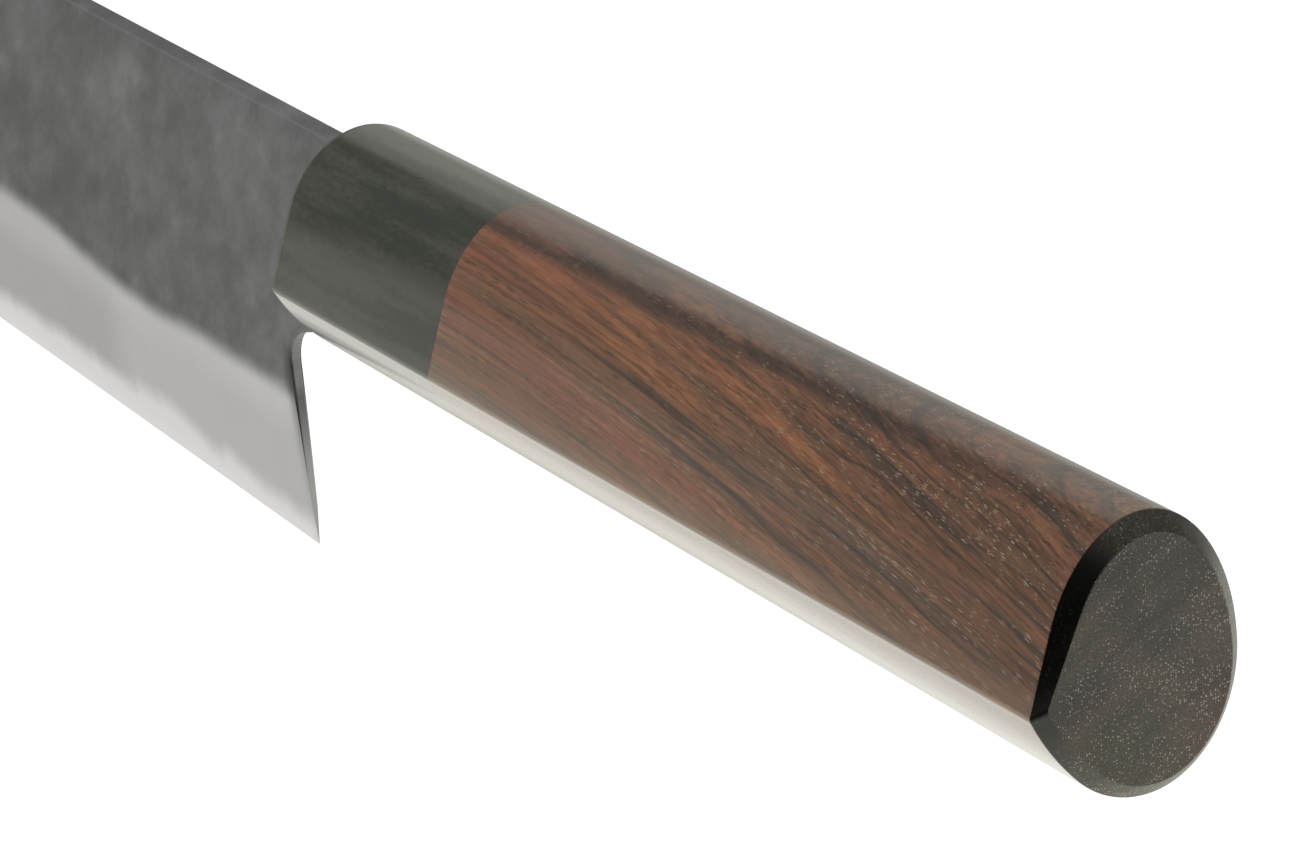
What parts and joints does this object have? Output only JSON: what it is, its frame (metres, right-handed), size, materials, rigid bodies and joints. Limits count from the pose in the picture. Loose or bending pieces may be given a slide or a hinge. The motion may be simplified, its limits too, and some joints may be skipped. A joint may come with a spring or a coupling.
{
  "type": "santoku knife",
  "caption": "Santoku kitchen knife: laminated steel blade with a dark upper face and polished bevel, dark ferrule, chestnut-section rosewood handle with one ridge.",
  "frame": {"origin": "middle of the butt's flat end face, on the blade's centre plane and at half the handle's height", "axes": "the tip points to -X and the butt faces +X; the handle's ridge is on -Y; +Z goes from the cutting edge to the spine"},
  "size_m": [0.3176, 0.0206, 0.0511],
  "materials": {
    "core_steel": "polished hard steel, bright along the cutting edge",
    "jacket_steel": "matte dark grey skin above, satin grey bevel below",
    "horn": "satin polished dark horn",
    "rosewood": "oiled, smooth, open pores",
    "dowel_wood": "bare",
    "resin": "cast, satin"
  },
  "bodies": {
    "root": {"blade_core": "core_steel", "blade_jacket_left": "jacket_steel", "blade_jacket_right": "jacket_steel", "ferrule": "horn", "handle_body": "rosewood", "handle_dowel": "dowel_wood", "tang_bedding": "resin", "mouth_seal": "resin"}
  },
  "joints": []
}
